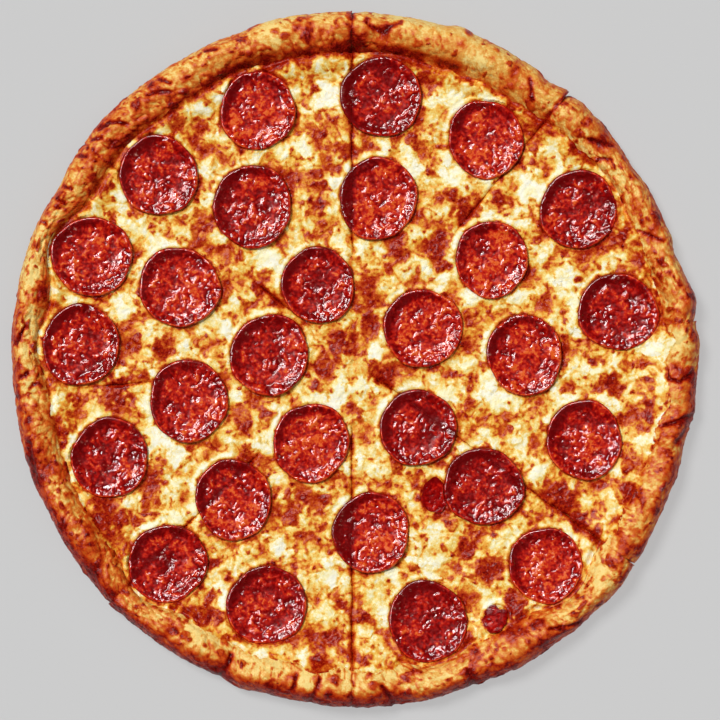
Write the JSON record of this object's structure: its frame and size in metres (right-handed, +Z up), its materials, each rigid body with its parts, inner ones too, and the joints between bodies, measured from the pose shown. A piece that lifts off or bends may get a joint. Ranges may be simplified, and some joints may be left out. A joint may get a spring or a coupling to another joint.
{
  "type": "pepperoni pizza",
  "caption": "Whole round pepperoni pizza with a thick browned rim, melted cheese and cupped pepperoni, cut into slices that still lie together.",
  "frame": {"origin": "middle of the outline, on the surface that the crust rests on", "axes": "+Z up, +Y towards the top of the view from above, +X to the right"},
  "size_m": [0.355, 0.3584, 0.0218],
  "materials": {
    "crust": "baked dough, golden with darker blisters, dry and matt",
    "cheese": "melted cheese, cream to golden brown, slightly oily",
    "pepperoni": "cured sausage, deep red, oily"
  },
  "bodies": {
    "root": {"cheese_slice_1": "cheese", "cheese_slice_2": "cheese", "cheese_slice_3": "cheese", "cheese_slice_4": "cheese", "cheese_slice_5": "cheese", "cheese_slice_6": "cheese", "cheese_slice_7": "cheese", "cheese_slice_8": "cheese", "crust_slice_1": "crust", "crust_slice_2": "crust", "crust_slice_3": "crust", "crust_slice_4": "crust", "crust_slice_5": "crust", "crust_slice_6": "crust", "crust_slice_7": "crust", "crust_slice_8": "crust", "pepperoni_01": "pepperoni", "pepperoni_02_left": "pepperoni", "pepperoni_02_right": "pepperoni", "pepperoni_03": "pepperoni", "pepperoni_04": "pepperoni", "pepperoni_05": "pepperoni", "pepperoni_06_left": "pepperoni", "pepperoni_06_right": "pepperoni", "pepperoni_07": "pepperoni", "pepperoni_08": "pepperoni", "pepperoni_09": "pepperoni", "pepperoni_10": "pepperoni", "pepperoni_11": "pepperoni", "pepperoni_12": "pepperoni", "pepperoni_13": "pepperoni", "pepperoni_14": "pepperoni", "pepperoni_15": "pepperoni", "pepperoni_16": "pepperoni", "pepperoni_17": "pepperoni", "pepperoni_18": "pepperoni", "pepperoni_19": "pepperoni", "pepperoni_20_left": "pepperoni", "pepperoni_20_right": "pepperoni", "pepperoni_21": "pepperoni", "pepperoni_22_left": "pepperoni", "pepperoni_22_right": "pepperoni", "pepperoni_23_left": "pepperoni", "pepperoni_23_right": "pepperoni", "pepperoni_24_left": "pepperoni", "pepperoni_24_right": "pepperoni", "pepperoni_25_left": "pepperoni", "pepperoni_25_right": "pepperoni", "pepperoni_26": "pepperoni", "pepperoni_27": "pepperoni", "pepperoni_28": "pepperoni", "pepperoni_scrap_1": "pepperoni", "pepperoni_scrap_2": "pepperoni"}
  },
  "joints": []
}
